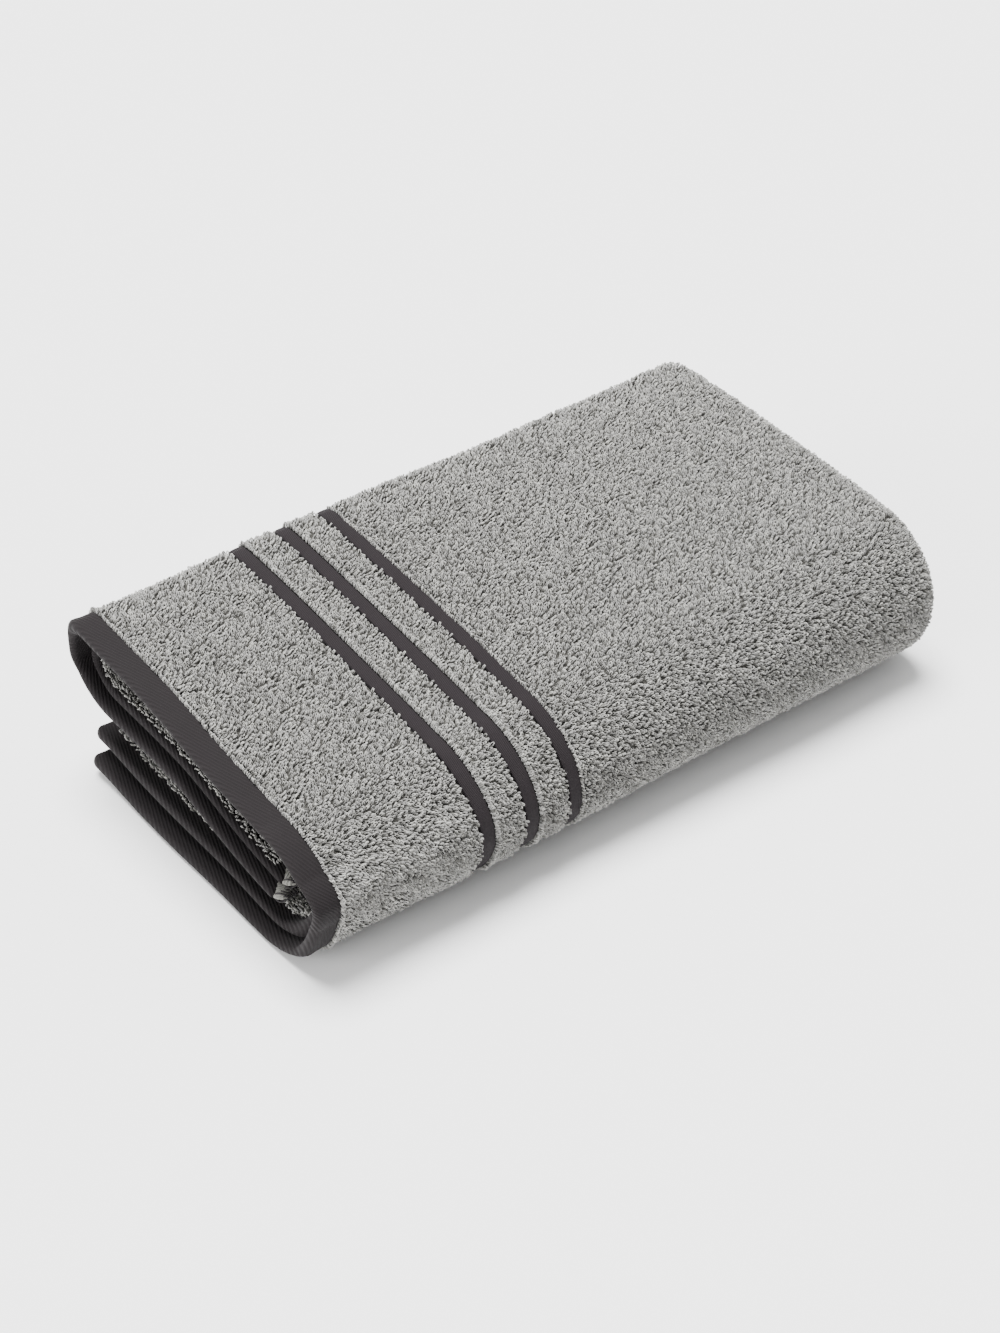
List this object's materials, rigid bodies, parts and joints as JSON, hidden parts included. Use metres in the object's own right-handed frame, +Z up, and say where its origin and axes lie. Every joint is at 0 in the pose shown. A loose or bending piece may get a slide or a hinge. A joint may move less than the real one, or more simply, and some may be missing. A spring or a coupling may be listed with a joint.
{
  "type": "folded towel",
  "caption": "Terry towel folded in half and then in thirds, with a dark twill hem at one end and narrow dark flat-woven stripes beside it.",
  "frame": {"origin": "middle of the underside, halfway along the length and the width", "axes": "+X from the hem end to the fold end, +Y from the front fold to the back fold, +Z up"},
  "size_m": [0.3, 0.16, 0.068],
  "materials": {
    "terry": "cotton terry, looped pile on both faces",
    "stripe": "flat-woven cotton stripe",
    "hem": "cotton twill, folded hem",
    "side": "plain-woven cotton side hem",
    "thread": "sewing thread",
    "side_thread": "sewing thread"
  },
  "bodies": {
    "root": {"hem_outer": "hem", "hem_stitching_outer": "thread", "terry_border_outer": "terry", "stripe_1_outer": "stripe", "stripe_2_outer": "stripe", "stripe_3_outer": "stripe", "terry_band_1_outer": "terry", "terry_band_2_outer": "terry", "corner_stitching_outer": "thread", "hem_inner": "hem", "hem_stitching_inner": "thread", "terry_border_inner": "terry", "stripe_1_inner": "stripe", "stripe_2_inner": "stripe", "stripe_3_inner": "stripe", "terry_band_1_inner": "terry", "terry_band_2_inner": "terry", "corner_stitching_inner": "thread", "terry_field": "terry", "side_hem_lower": "side", "side_stitching_lower": "side_thread", "side_hem_middle": "side", "side_stitching_middle": "side_thread"}
  },
  "joints": []
}
